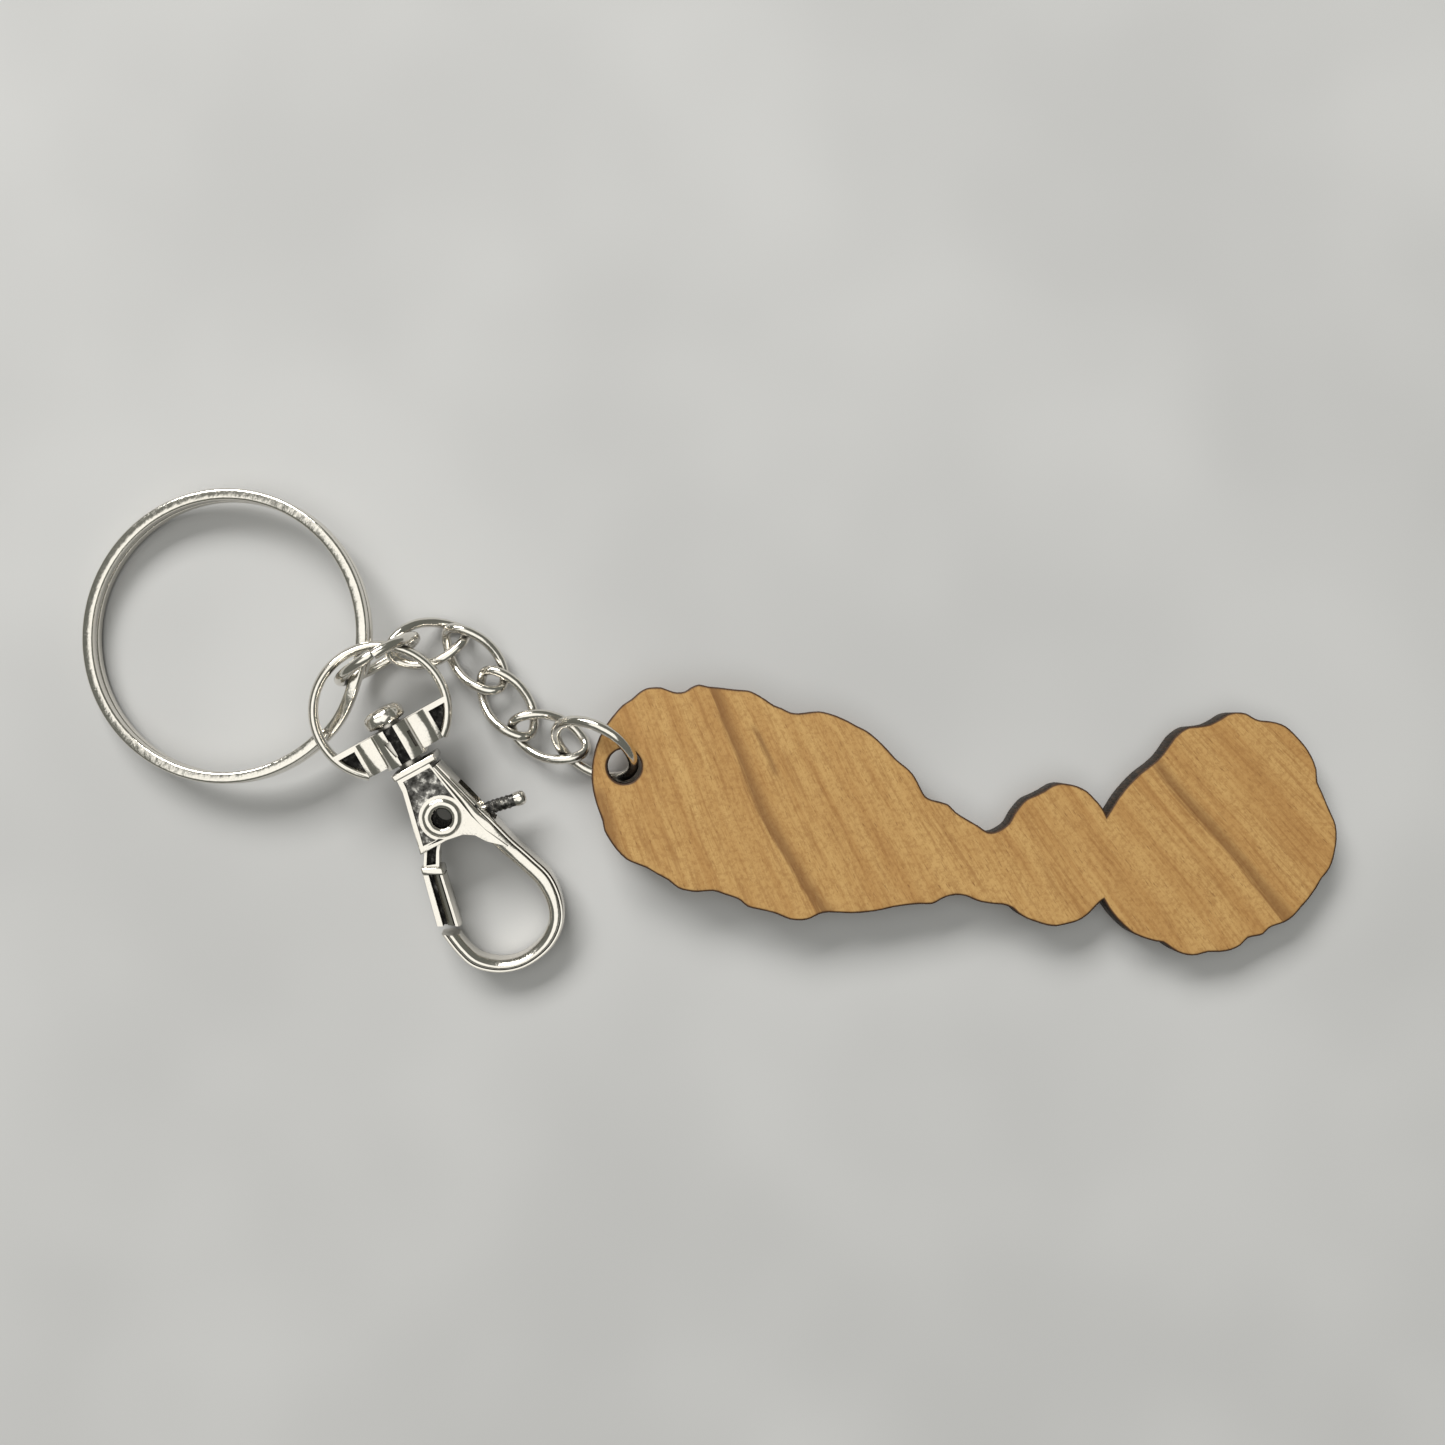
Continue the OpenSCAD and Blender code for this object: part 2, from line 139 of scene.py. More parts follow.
def smooth_curve(points, steps):
    """Points along a Catmull-Rom curve through the given ones."""
    p = [Vector(q) for q in points]
    made = []
    for i in range(len(p) - 1):
        a, b = p[max(i - 1, 0)], p[i]
        c, d = p[i + 1], p[min(i + 2, len(p) - 1)]
        for k in range(steps):
            t = k / steps
            made.append(
                0.5
                * (
                    2 * b
                    + (c - a) * t
                    + (2 * a - 5 * b + 4 * c - d) * t * t
                    + (3 * b - a - 3 * c + d) * t ** 3
                )
            )
    made.append(p[-1])
    return made


def rounded_box_section(half_w, half_h, radius, steps=3):
    """Corner points of a rectangle with rounded corners, counter-clockwise."""
    points = []
    for corner, (sx, sy) in enumerate([(1, 1), (-1, 1), (-1, -1), (1, -1)]):
        for k in range(steps + 1):
            a = math.radians(90 * (corner + k / steps))
            points.append(
                (
                    sx * (half_w - radius) + radius * math.cos(a),
                    sy * (half_h - radius) + radius * math.sin(a),
                )
            )
    return points


def round_section(radius, sides=16):
    """Corner points of a circle, counter-clockwise."""
    return [
        (radius * math.cos(2 * math.pi * k / sides), radius * math.sin(2 * math.pi * k / sides))
        for k in range(sides)
    ]


def sweep(path, out, sections, closed=False):
    """(vertices, faces) of a bar along path. out leans away from the inside of the bend; each
    section's first coordinate lies along it. Open ends are capped."""
    n, sides = len(path), len(sections[0])
    verts, faces = [], []
    for i in range(n):
        before = path[(i - 1) % n] if closed else path[max(i - 1, 0)]
        after = path[(i + 1) % n] if closed else path[min(i + 1, n - 1)]
        run = (after - before).normalized()
        side = (out[i] - out[i].dot(run) * run).normalized()
        up = run.cross(side)
        verts += [path[i] + side * s[0] + up * s[1] for s in sections[i]]
    for i in range(n if closed else n - 1):
        for k in range(sides):
            a, b = i * sides + k, i * sides + (k + 1) % sides
            c, d = ((i + 1) % n) * sides + (k + 1) % sides, ((i + 1) % n) * sides + k
            faces.append((a, b, c, d))
    if not closed:
        faces.append(tuple(reversed(range(sides))))
        faces.append(tuple(range((n - 1) * sides, n * sides)))
    return verts, faces


def lathe(profile, sides=64):
    """(vertices, faces) of a closed profile of (radius, height) turned about Z."""
    n = len(profile)
    verts = [
        Vector((r * math.cos(a), r * math.sin(a), z))
        for a in (2 * math.pi * k / sides for k in range(sides))
        for r, z in profile
    ]
    faces = [
        (
            k * n + i,
            ((k + 1) % sides) * n + i,
            ((k + 1) % sides) * n + (i + 1) % n,
            k * n + (i + 1) % n,
        )
        for k in range(sides)
        for i in range(n)
    ]
    return verts, faces


def prism(outline, low, high):
    """(vertices, faces) of a flat outline raised from low to high."""
    n = len(outline)
    verts = [Vector((x, y, z)) for z in (low, high) for x, y in outline]
    faces = [tuple(reversed(range(n))), tuple(range(n, 2 * n))]
    faces += [(i, (i + 1) % n, n + (i + 1) % n, n + i) for i in range(n)]
    return verts, faces


def moved(shape, matrix):
    """A shape with its points moved by a matrix."""
    return [matrix @ v for v in shape[0]], shape[1]


def turned_to_x(shape):
    """A shape made about Z, laid along X."""
    return moved(shape, Matrix.Rotation(math.pi / 2, 4, "Y"))


def bare_mesh(name, shape):
    """A mesh of a shape, with doubled points merged and every face looking outwards."""
    mesh = bpy.data.meshes.new(name)
    mesh.from_pydata([tuple(v) for v in shape[0]], [], shape[1])
    bm = bmesh.new()
    bm.from_mesh(mesh)
    bmesh.ops.remove_doubles(bm, verts=bm.verts, dist=MERGE_DISTANCE)
    bmesh.ops.recalc_face_normals(bm, faces=bm.faces)
    bm.to_mesh(mesh)
    bm.free()
    return mesh


def temporary(shape):
    """An object of a shape that carved works on and deletes."""
    thing = bpy.data.objects.new("temporary", bare_mesh("temporary", shape))
    bpy.context.scene.collection.objects.link(thing)
    return thing


def carved(shape, cuts=(), joins=(), bevel=0.0, segments=2):
    """A shape with others joined to it or cut from it, and its edges rounded, in millimetres."""
    base = temporary(shape)
    helpers = []
    for others, operation in ((joins, "UNION"), (cuts, "DIFFERENCE")):
        for other in others:
            helper = temporary(other)
            helpers.append(helper)
            boolean = base.modifiers.new("shape", "BOOLEAN")
            boolean.operation = operation
            boolean.solver = "EXACT"
            boolean.object = helper
    if bevel:
        rounding = base.modifiers.new("edges", "BEVEL")
        rounding.width = bevel
        rounding.segments = segments
        rounding.limit_method = "ANGLE"
        rounding.angle_limit = SHARP_CORNER
    evaluated = base.evaluated_get(bpy.context.evaluated_depsgraph_get())
    mesh = evaluated.to_mesh()
    made = (
        [v.co.copy() for v in mesh.vertices],
        [tuple(p.vertices) for p in mesh.polygons],
    )
    evaluated.to_mesh_clear()
    for thing in [base, *helpers]:
        mesh = thing.data
        bpy.data.objects.remove(thing)
        bpy.data.meshes.remove(mesh)
    return made


def joined(*shapes):
    """Several shapes as one, each still a closed surface of its own."""
    verts, faces = [], []
    for v, f in shapes:
        start = len(verts)
        verts += v
        faces += [tuple(start + i for i in face) for face in f]
    return verts, faces


def finished(name, node, mesh, material, sharp_from=40):
    """A piece that stands for a CAD node, smooth where its faces turn less than sharp_from."""
    for polygon in mesh.polygons:
        polygon.use_smooth = True
    mesh.set_sharp_from_angle(angle=math.radians(sharp_from))
    mesh.materials.append(material)
    thing = bpy.data.objects.new(name, mesh)
    bpy.context.scene.collection.objects.link(thing)
    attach(thing, body_of_node[node])
    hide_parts(node)
    return thing


def piece(name, node, shape, matrix, material):
    """A finished piece from a shape in millimetres, put in its place by a matrix."""
    mesh = bare_mesh(name, shape)
    mesh.transform(Matrix.Scale(MM, 4))
    mesh.transform(matrix)
    return finished(name, node, mesh, material)


def roughened(shape, amount, scale, offset):
    """A shape with its surface moved in and out a little, as a hammered or cast one is.

    offset is where in the noise the shape lies. The dents are a little different on every run,
    because Blender's noise_vector is not seeded here."""
    shift = Vector((offset, offset * 0.7, offset * 1.3))
    verts = [v + noise.noise_vector(v * scale + shift) * amount for v in shape[0]]
    return verts, shape[1]


# ---------- materials ----------


class Nodes:
    """A short way to build a material's node tree."""

    def __init__(self, name):
        self.material = bpy.data.materials.new(name)
        self.material.use_nodes = True
        self.tree = self.material.node_tree
        self.shader = self.tree.nodes["Principled BSDF"]

    def add(self, kind, **inputs):
        """A node of this kind. Each input sets a property or, if there is none, a socket."""
        node = self.tree.nodes.new("ShaderNode" + kind)
        for key, value in inputs.items():
            if hasattr(node, key):
                setattr(node, key, value)
            else:
                self.put(node.inputs[key], value)
        return node

    def put(self, socket, value):
        """Links a socket to another node's output, or sets it to a plain value."""
        if isinstance(value, bpy.types.NodeSocket):
            self.tree.links.new(value, socket)
        else:
            socket.default_value = value

    def math(self, operation, a, b=0.0, c=0.0):
        """One sum on up to three values or sockets."""
        node = self.tree.nodes.new("ShaderNodeMath")
        node.operation = operation
        for socket, value in zip(node.inputs, (a, b, c)):
            self.put(socket, value)
        return node.outputs[0]

    def ramp(self, factor, stops):
        """The colour that stops, (place, colour) in rising order, give for factor."""
        node = self.tree.nodes.new("ShaderNodeValToRGB")
        elements = node.color_ramp.elements
        for i, (place, colour) in enumerate(stops):
            element = elements[i] if i < 2 else elements.new(place)
            element.position = place
            element.color = colour
        self.put(node.inputs[0], factor)
        return node.outputs[0]

    def level(self, factor, low, high, out_low=0.0, out_high=1.0):
        """factor between low and high, stretched to run from out_low to out_high."""
        node = self.tree.nodes.new("ShaderNodeMapRange")
        node.interpolation_type = "SMOOTHSTEP"
        for socket, value in zip(node.inputs, (factor, low, high, out_low, out_high)):
            self.put(socket, value)
        return node.outputs[0]

    def mix(self, factor, a, b):
        """Colour a where factor is 0 and colour b where it is 1."""
        node = self.tree.nodes.new("ShaderNodeMix")
        node.data_type = "RGBA"
        self.put(node.inputs[0], factor)
        for socket, value in zip(node.inputs[6:8], (a, b)):  # the two colour sockets
            self.put(socket, value)
        return node.outputs[2]

    def noise(self, place, scale, detail=2.0, rough=0.5):
        """Noise from 0 to 1, with its scale in features for each unit of place."""
        node = self.tree.nodes.new("ShaderNodeTexNoise")
        self.put(node.inputs["Vector"], place)
        self.put(node.inputs["Scale"], scale)
        self.put(node.inputs["Detail"], detail)
        self.put(node.inputs["Roughness"], rough)
        return node.outputs["Fac"]

    def bump(self, height, strength, distance, below=None):
        """A bumpy normal, on top of the one below."""
        node = self.tree.nodes.new("ShaderNodeBump")
        self.put(node.inputs["Strength"], strength)
        self.put(node.inputs["Distance"], distance)
        self.put(node.inputs["Height"], height)
        if below is not None:
            self.put(node.inputs["Normal"], below)
        return node.outputs[0]


# colour of the painted shade in the metal's corners and near the floor
CORNER_SHADE = (0.045, 0.04, 0.03, 1)
SHADE_REACH = 1.2 * MM       # how near two surfaces are where painted shade darkens the metal between them


def grey(value, warmth):
    """A grey with a little more red and less blue."""
    return (value * (1 + warmth), value, value * (1 - 2 * warmth), 1)


def nickel(name, tone, roughness, waviness, shade_depth):
    """Bright nickel plating: slow waves in the reflections, fine pits, and painted shade in the
    corners and near the floor, where ambient occlusion finds other surfaces close by.

    tone is the plating's grey, and the last argument is how dark the painted shade gets, both from 0 to 1."""
    n = Nodes(name)
    place = n.add("TexCoord").outputs["Object"]
    cloudy = n.noise(place, 420, 3)
    pits = n.noise(place, 5200, 2, 0.6)
    waves = n.noise(place, 1400, 2)
    corner = n.add("AmbientOcclusion", Distance=SHADE_REACH).outputs["AO"]
    # painted shade: the plating darkens, and gets rougher, where ambient occlusion finds surfaces or the floor
    # close by
    shade = n.level(corner, 0.20, 0.80, shade_depth, 0.0)
    plating = n.mix(cloudy, grey(tone, 0.035), grey(tone * 0.9, 0.05))
    shaded = n.mix(shade, plating, CORNER_SHADE)
    n.put(n.shader.inputs["Base Color"], shaded)
    n.put(n.shader.inputs["Metallic"], 1.0)
    worn = n.level(pits, 0.45, 0.75, roughness, roughness + 0.12)
    n.put(n.shader.inputs["Roughness"], n.math("ADD", worn, n.math("MULTIPLY", shade, 0.3)))
    slow = n.bump(waves, waviness, 0.05 * MM)
    n.put(n.shader.inputs["Normal"], n.bump(pits, 0.12, 0.01 * MM, slow))
    return n.material


def rough_casting(name, brightness):
    """Dark, pitted and only half plated metal, as on the unpolished floor of a recess. With a low
    brightness it is near black and stands as painted shade in slots, pockets and bores.
    """
    n = Nodes(name)
    place = n.add("TexCoord").outputs["Object"]
    lumps = n.noise(place, 1300, 4, 0.6)
    grains = n.noise(place, 6000, 2, 0.7)
    dark, middle, bright = (grey(v * brightness, 0.03) for v in (0.03, 0.14, 0.75))
    tone = n.ramp(lumps, [(0.36, dark), (0.54, middle), (0.68, bright)])
    n.put(n.shader.inputs["Base Color"], tone)
    n.put(n.shader.inputs["Metallic"], 0.9)
    n.put(n.shader.inputs["Roughness"], n.level(grains, 0.3, 0.7, 0.20, 0.50))
    slow = n.bump(lumps, 0.8, 0.18 * MM)
    n.put(n.shader.inputs["Normal"], n.bump(grains, 0.4, 0.03 * MM, slow))
    return n.material


wire_nickel = nickel("wire_nickel", tone=0.78, roughness=0.13, waviness=0.45, shade_depth=0.95)
cast_nickel = nickel("cast_nickel", tone=0.77, roughness=0.12, waviness=0.25, shade_depth=0.95)
hammered_nickel = nickel("hammered_nickel", tone=0.84, roughness=0.16, waviness=0.7, shade_depth=0.8)
spring_metal = nickel("spring_wire", tone=0.6, roughness=0.2, waviness=0.1, shade_depth=0.5)
recess_metal = rough_casting("rough_casting", brightness=1.0)
# near-black painted shade for the floors of slots, pockets and grooves and for the rivet's bore
shadow_black_metal = rough_casting("painted_shade_casting", brightness=0.12)


# ---------- wooden charm ----------

CHARM_T = 3.0       # the board's thickness
# The board's cut edge from a face downwards: (distance in from the rim, depth, how toasted)
CHARM_EDGE = [(0.75, 0.0, 0.0), (0.22, 0.0, 0.45), (0.06, 0.015, 1.0), (0.0, 0.08, 1.0)]
WOOD_LIGHT = (0.56, 0.345, 0.126, 1)
WOOD_MID = (0.45, 0.246, 0.080, 1)
WOOD_LINE = (0.30, 0.140, 0.038, 1)
WOOD_DARK = (0.17, 0.070, 0.018, 1)
WOOD_BURNT = (0.060, 0.026, 0.010, 1)
CHAR = (0.012, 0.008, 0.005, 1)
CHAR_RIB = (0.055, 0.030, 0.014, 1)
GRAIN_LEVEL_Y = -7      # the grain's slant is measured from this line
GRAIN_SLANT = 0.4135    # how far the grain leans to the right for each millimetre down
GRAIN_FAN = 0.00878     # and how much more it leans for each millimetre further right


def grain_coordinates(n, place):
    """(across, along) the grain and the height, in millimetres. The grain runs down the board
    at 65 degrees near the hole and at 49 degrees in the far lobe."""
    split = n.add("SeparateXYZ", Vector=place)
    x, y, z = (n.math("MULTIPLY", part, 1 / MM) for part in split.outputs)
    along = n.math("SUBTRACT", y, GRAIN_LEVEL_Y)
    slanted = n.math("MULTIPLY_ADD", along, GRAIN_SLANT, x)
    fan = n.math("SUBTRACT", 1, n.math("MULTIPLY", along, GRAIN_FAN))
    return n.math("DIVIDE", slanted, fan), along, z


def streak(n, offset, left, right):
    """1 on a dark streak, fading over these widths on its two sides."""
    rise = n.level(offset, -left, 0.0)
    fall = n.level(offset, 0.0, right, 1.0, 0.0)
    return n.math("MULTIPLY", rise, fall)


def between(n, value, low, high, soft):
    """1 between low and high, fading out beyond them."""
    rise = n.level(value, low - soft, low)
    fall = n.level(value, high, high + soft, 1.0, 0.0)
    return n.math("MULTIPLY", rise, fall)


def fibres(n, grain, across_scale, along_scale, detail=3.0, rough=0.55):
    """Noise stretched along the grain, with its scales in features for each millimetre."""
    across, along, up = grain
    stretched = n.add(
        "CombineXYZ",
        X=n.math("MULTIPLY", across, across_scale),
        Y=n.math("MULTIPLY", along, along_scale),
        Z=n.math("MULTIPLY", up, 0.4),
    )
    return n.noise(stretched.outputs[0], 1.0, detail, rough)


def plain_wood(n, place, grain, lines, threads):
    """The board's colour: broad bands, blotches, growth lines, threads, mottling and pores."""
    bands = fibres(n, grain, 0.42, 0.03, 4)
    pores = fibres(n, grain, 8.0, 1.1, 1)
    mottle = n.noise(place, 2200, 3, 0.7)
    blotches = n.noise(place, 220, 2)
    colour = n.mix(n.level(bands, 0.34, 0.66), WOOD_MID, WOOD_LIGHT)
    colour = n.mix(n.level(blotches, 0.40, 0.70, 0.0, 0.35), colour, WOOD_MID)
    colour = n.mix(n.level(lines, 0.50, 0.68, 0.0, 0.50), colour, WOOD_LINE)
    colour = n.mix(n.level(threads, 0.48, 0.72, 0.0, 0.34), colour, WOOD_LINE)
    colour = n.mix(n.level(mottle, 0.42, 0.66, 0.0, 0.45), colour, WOOD_LINE)
    colour = n.mix(n.level(lines, 0.30, 0.46, 0.45, 0.0), colour, WOOD_LIGHT)
    return n.mix(n.level(pores, 0.66, 0.76, 0.0, 0.6), colour, WOOD_DARK)


def streaked(n, colour, grain, lines):
    """The board's four dark streaks. Each has its place across the grain, in millimetres, and is
    ragged where the growth lines are."""
    across, along, _ = grain
    ragged = n.math("MULTIPLY", n.math("SUBTRACT", lines, 0.5), 1.5)
    shifted = n.math("ADD", across, ragged)
    from_bend = n.math("SUBTRACT", along, 2)
    bowed = n.math("MULTIPLY", n.math("MULTIPLY", from_bend, from_bend), 0.008)
    main = streak(n, n.math("SUBTRACT", n.math("SUBTRACT", shifted, 4.9), bowed), 0.5, 1.9)
    short = streak(n, n.math("SUBTRACT", shifted, 8.1), 0.4, 0.9)
    short = n.math("MULTIPLY", short, between(n, along, 3.4, 6.6, 1.6))
    lobe = streak(n, n.math("SUBTRACT", shifted, 48.8), 1.0, 1.6)
    end = streak(n, n.math("SUBTRACT", shifted, -10.9), 0.8, 1.6)
    end = n.math("MULTIPLY", end, between(n, along, -6.5, 0.5, 1.5))
    for mark, strength in ((main, 0.72), (short, 0.65), (lobe, 0.68), (end, 0.6)):
        colour = n.mix(n.math("MULTIPLY", mark, strength), colour, WOOD_DARK)
    return colour


def toasted(n, colour, place):
    """The colour browned unevenly along the rim, where the attribute toast says."""
    toast = n.add("Attribute", attribute_name="toast").outputs["Fac"]
    uneven = n.noise(place, 900, 3)
    burnt = n.level(n.math("MULTIPLY_ADD", uneven, 0.35, toast), 0.50, 1.05)
    return n.mix(burnt, colour, WOOD_BURNT)


def cut_wall(n, place):
    """Where the cut walls are, as 1, and the upright ribs that the laser left on them."""
    facing = n.add("SeparateXYZ", Vector=n.add("TexCoord").outputs["Normal"]).outputs[2]
    wall = n.level(n.math("ABSOLUTE", facing), 0.35, 0.75, 1.0, 0.0)
    upright = n.add("VectorMath", operation="MULTIPLY")
    n.put(upright.inputs[0], place)
    n.put(upright.inputs[1], (7000, 7000, 630))
    return wall, n.noise(upright.outputs[0], 1.0, 2, 0.6)


def wood():
    """Sanded cherry-coloured board, toasted at its rim and charred on its cut walls."""
    n = Nodes("wood")
    place = n.add("TexCoord").outputs["Object"]
    across, along, up = grain_coordinates(n, place)
    wander = n.math("SUBTRACT", n.noise(place, 70, 2), 0.5)
    grain = (n.math("MULTIPLY_ADD", wander, 1.1, across), along, up)
    lines = fibres(n, grain, 1.9, 0.14, 4, 0.6)
    threads = fibres(n, grain, 5.0, 0.55, 3, 0.6)
    colour = plain_wood(n, place, grain, lines, threads)
    colour = streaked(n, colour, grain, lines)
    colour = toasted(n, colour, place)
    wall, ribs = cut_wall(n, place)
    char = n.mix(n.level(ribs, 0.4, 0.75), CHAR, CHAR_RIB)
    n.put(n.shader.inputs["Base Color"], n.mix(wall, colour, char))
    n.put(n.shader.inputs["Roughness"], n.level(threads, 0.3, 0.7, 0.52, 0.70))
    n.put(n.shader.inputs["Specular IOR Level"], 0.3)
    pitted = n.bump(n.math("MULTIPLY_ADD", threads, 0.6, lines), 0.4, 0.05 * MM)
    ribbed = n.bump(n.math("MULTIPLY", ribs, wall), 0.8, 0.12 * MM, pitted)
    n.put(n.shader.inputs["Normal"], ribbed)
    return n.material


def face_loops(node, normal):
    """Edge loops round the flat face of a CAD node that looks along normal, as lists of points."""
    bm = bmesh.new()
    bm.from_mesh(frame["nodes"][node].data)
    bmesh.ops.remove_doubles(bm, verts=bm.verts, dist=1e-6)
    bm.normal_update()
    top = {f for f in bm.faces if f.normal.dot(normal) > 0.99}
    rim = [e for e in bm.edges if sum(f in top for f in e.link_faces) == 1]
    following = {}
    for e in rim:
        face = next(f for f in e.link_faces if f in top)
        corner = next(c for c in face.loops if c.edge == e)
        following[corner.vert] = corner.link_loop_next.vert
    loops = []
    while following:
        start, step = following.popitem()
        points = [start.co.copy()]
        while step != start:
            points.append(step.co.copy())
            step = following.pop(step)
        loops.append(points)
    bm.free()
    return sorted(loops, key=len, reverse=True)


def inset_loop(points, distance, normal):
    """The loop moved inwards over its face. Its points run counter-clockwise about normal."""
    n = len(points)
    made = []
    for i in range(n):
        before = (points[i] - points[i - 1]).normalized()
        after = (points[(i + 1) % n] - points[i]).normalized()
        inward = normal.cross(before) + normal.cross(after)
        inward.normalize()
        spread = max(inward.dot(normal.cross(after)), 0.5)
        made.append(points[i] + inward * (distance / spread))
    return made


def edge_rows(bm, toast, loop, normal):
    """Rows of points down the board's cut edge, from just inside one face to the other."""
    levels = list(CHARM_EDGE)
    levels += [(inset, CHARM_T - depth, amount) for inset, depth, amount in reversed(CHARM_EDGE)]
    rows = []
    for inset, depth, amount in levels:
        row = []
        for p in inset_loop(loop, inset * MM, normal):
            v = bm.verts.new(p - normal * depth * MM)
            v[toast] = amount
            row.append(v)
        rows.append(row)
    return rows


def make_charm(material):
    """The board, with its cut edges eased and a toasted rim marked by the attribute toast."""
    normal = joint_matrix("charm_turn", (1, 0, 0)).to_3x3() @ Vector((0, 0, 1))
    bm = bmesh.new()
    toast = bm.verts.layers.float.new("toast")
    upper_rim, lower_rim = [], []
    for loop in face_loops("charm", normal):
        rows = edge_rows(bm, toast, loop, normal)
        around = [(i, (i + 1) % len(loop)) for i in range(len(loop))]
        for upper, lower in zip(rows, rows[1:]):
            for i, k in around:
                bm.faces.new((upper[i], lower[i], lower[k], upper[k]))
        upper_rim += [bm.edges.get((rows[0][i], rows[0][k])) for i, k in around]
        lower_rim += [bm.edges.get((rows[-1][i], rows[-1][k])) for i, k in around]
    for rim in (upper_rim, lower_rim):
        bmesh.ops.triangle_fill(bm, use_beauty=True, use_dissolve=False, edges=rim)
    bmesh.ops.recalc_face_normals(bm, faces=bm.faces)
    mesh = bpy.data.meshes.new("charm_board")
    bm.to_mesh(mesh)
    bm.free()
    finished("charm_board", "charm", mesh, material, sharp_from=50)


# ---------- rings and chain ----------

RING_R = 4.3
RING_WIRE = 1.1
RING_HALF_GAP = math.radians(0.8)   # half the gap between a jump ring's sawn ends
RING_SLIP = 0.08                    # how far each end is out of line
LINK_HALF_LENGTH = 4.0
LINK_HALF_WIDTH = 2.15
LINK_TWIST = math.radians(38)
LINK_WIRE = 1.0
SPLIT_R = 14.45
SPLIT_W = 1.2
SPLIT_H = 1.15
SPLIT_CORNER = 0.3
SPLIT_CROSSING_AT = math.radians(-14)       # the middle of the crossing
SPLIT_CROSSING = math.radians(24)           # how much of the ring it takes
SPLIT_END_SHRINK = (0.75, 0.93, 1.0)        # size of the wire at its end and just before it
SPLIT_START = math.radians(-14.5)           # where the ring's own angles are measured from


def make_jump_ring(name, node, cut_angle):
    """A ring bent from one wire. Its sawn ends meet with a hair's gap, a little out of line."""
    steps = 120
    path, sections = [], []
    for i in range(steps + 1):
        share = i / steps
        a = math.radians(cut_angle) + RING_HALF_GAP + (2 * math.pi - 2 * RING_HALF_GAP) * share
        lean = RING_SLIP * (2 * share - 1) ** 9
        path.append(Vector((RING_R * math.cos(a), RING_R * math.sin(a), lean)))
        at_end = i in (0, steps)
        sections.append(round_section(RING_WIRE / 2 * (0.9 if at_end else 1.0)))
    out = [Vector((p.x, p.y, 0)) for p in path]
    shape = sweep(path, out, sections)
    piece(name, node, shape, ring_matrix(node), wire_nickel)


def make_chain_link(number):
    """A twisted curb link, a little uneven, as a hammered wire is."""
    steps = 96
    path = []
    for i in range(steps):
        t = 2 * math.pi * i / steps
        turn = -LINK_TWIST * math.cos(t)
        x = LINK_HALF_LENGTH * math.cos(t)
        y = LINK_HALF_WIDTH * math.sin(t)
        path.append(Vector((x, y * math.cos(turn), y * math.sin(turn))))
    shape = sweep(path, path, [round_section(LINK_WIRE / 2)] * steps, closed=True)
    shape = roughened(shape, amount=0.012, scale=0.9, offset=number * 7.1)
    node = f"chain_link_{number}"
    piece(f"{node}_wire", node, shape, principal_matrix(node), wire_nickel)


def make_split_ring():
    """One flattened wire in two turns, climbing from the lower to the upper at the crossing."""
    turn = 2 * math.pi - SPLIT_CROSSING
    start = SPLIT_CROSSING_AT + SPLIT_CROSSING / 2
    stretches = [  # (first angle, span, steps)
        (0, turn, 150),
        (turn, SPLIT_CROSSING, 16),
        (2 * math.pi, turn, 150),
    ]
    path = []
    for first, span, steps in stretches:
        for k in range(steps):
            a = first + span * k / steps
            climb = clamped((a - turn) / SPLIT_CROSSING)
            z = SPLIT_H * (climb * climb * (3 - 2 * climb) - 0.5)
            path.append(Vector((SPLIT_R * math.cos(start + a), SPLIT_R * math.sin(start + a), z)))
    sections = []
    for i in range(len(path)):
        from_end = min(i, len(path) - 1 - i)
        shrink = SPLIT_END_SHRINK[min(from_end, 2)]
        half_w = SPLIT_W / 2 * shrink
        half_h = (SPLIT_H / 2 - 0.01) * shrink
        sections.append(rounded_box_section(half_w, half_h, SPLIT_CORNER * shrink, 4))
    out = [Vector((p.x, p.y, 0)) for p in path]
    shape = sweep(path, out, sections)
    matrix = joint_matrix("split_ring_spin", (math.cos(SPLIT_START), math.sin(SPLIT_START), 0))
    piece("split_ring_coil", "split_ring", shape, matrix, wire_nickel)


# ---------- shapes for the clasp ----------

CLEAR = 4.0     # a height that is clear of every part of the clasp


def arc(radius, start, end, steps):
    """Points of an arc between two angles in degrees."""
    angles = [math.radians(start + (end - start) * k / steps) for k in range(steps + 1)]
    return [(radius * math.cos(a), radius * math.sin(a)) for a in angles]


def rectangle(x, y):
    """Outline of a rectangle from its two X and its two Y."""
    return [(x[0], y[0]), (x[1], y[0]), (x[1], y[1]), (x[0], y[1])]


def squared_circle(half_w, half_h, power, sides):
    """Points of a closed curve between an ellipse (power 2) and a rectangle (high power)."""
    points = []
    for k in range(sides):
        c, s = math.cos(2 * math.pi * k / sides), math.sin(2 * math.pi * k / sides)
        x = half_w * math.copysign(abs(c) ** (2 / power), c)
        y = half_h * math.copysign(abs(s) ** (2 / power), s)
        points.append((x, y))
    return points


def rod(radius, start, end, sides=48):
    """(vertices, faces) of a plain rod about Z."""
    return lathe([(0.001, start), (radius, start), (radius, end), (0.001, end)], sides)


def along_x(outline, low, high):
    """A bar whose section, drawn in Y and Z, runs along X from low to high."""
    turn = Matrix(((0, 0, 1, 0), (1, 0, 0, 0), (0, 1, 0, 0), (0, 0, 0, 1)))
    return moved(prism(outline, low, high), turn)


def with_turned_over(shape):
    """A shape and its copy turned over about X to the clasp's other face."""
    return [shape, moved(shape, Matrix.Rotation(math.pi, 4, "X"))]


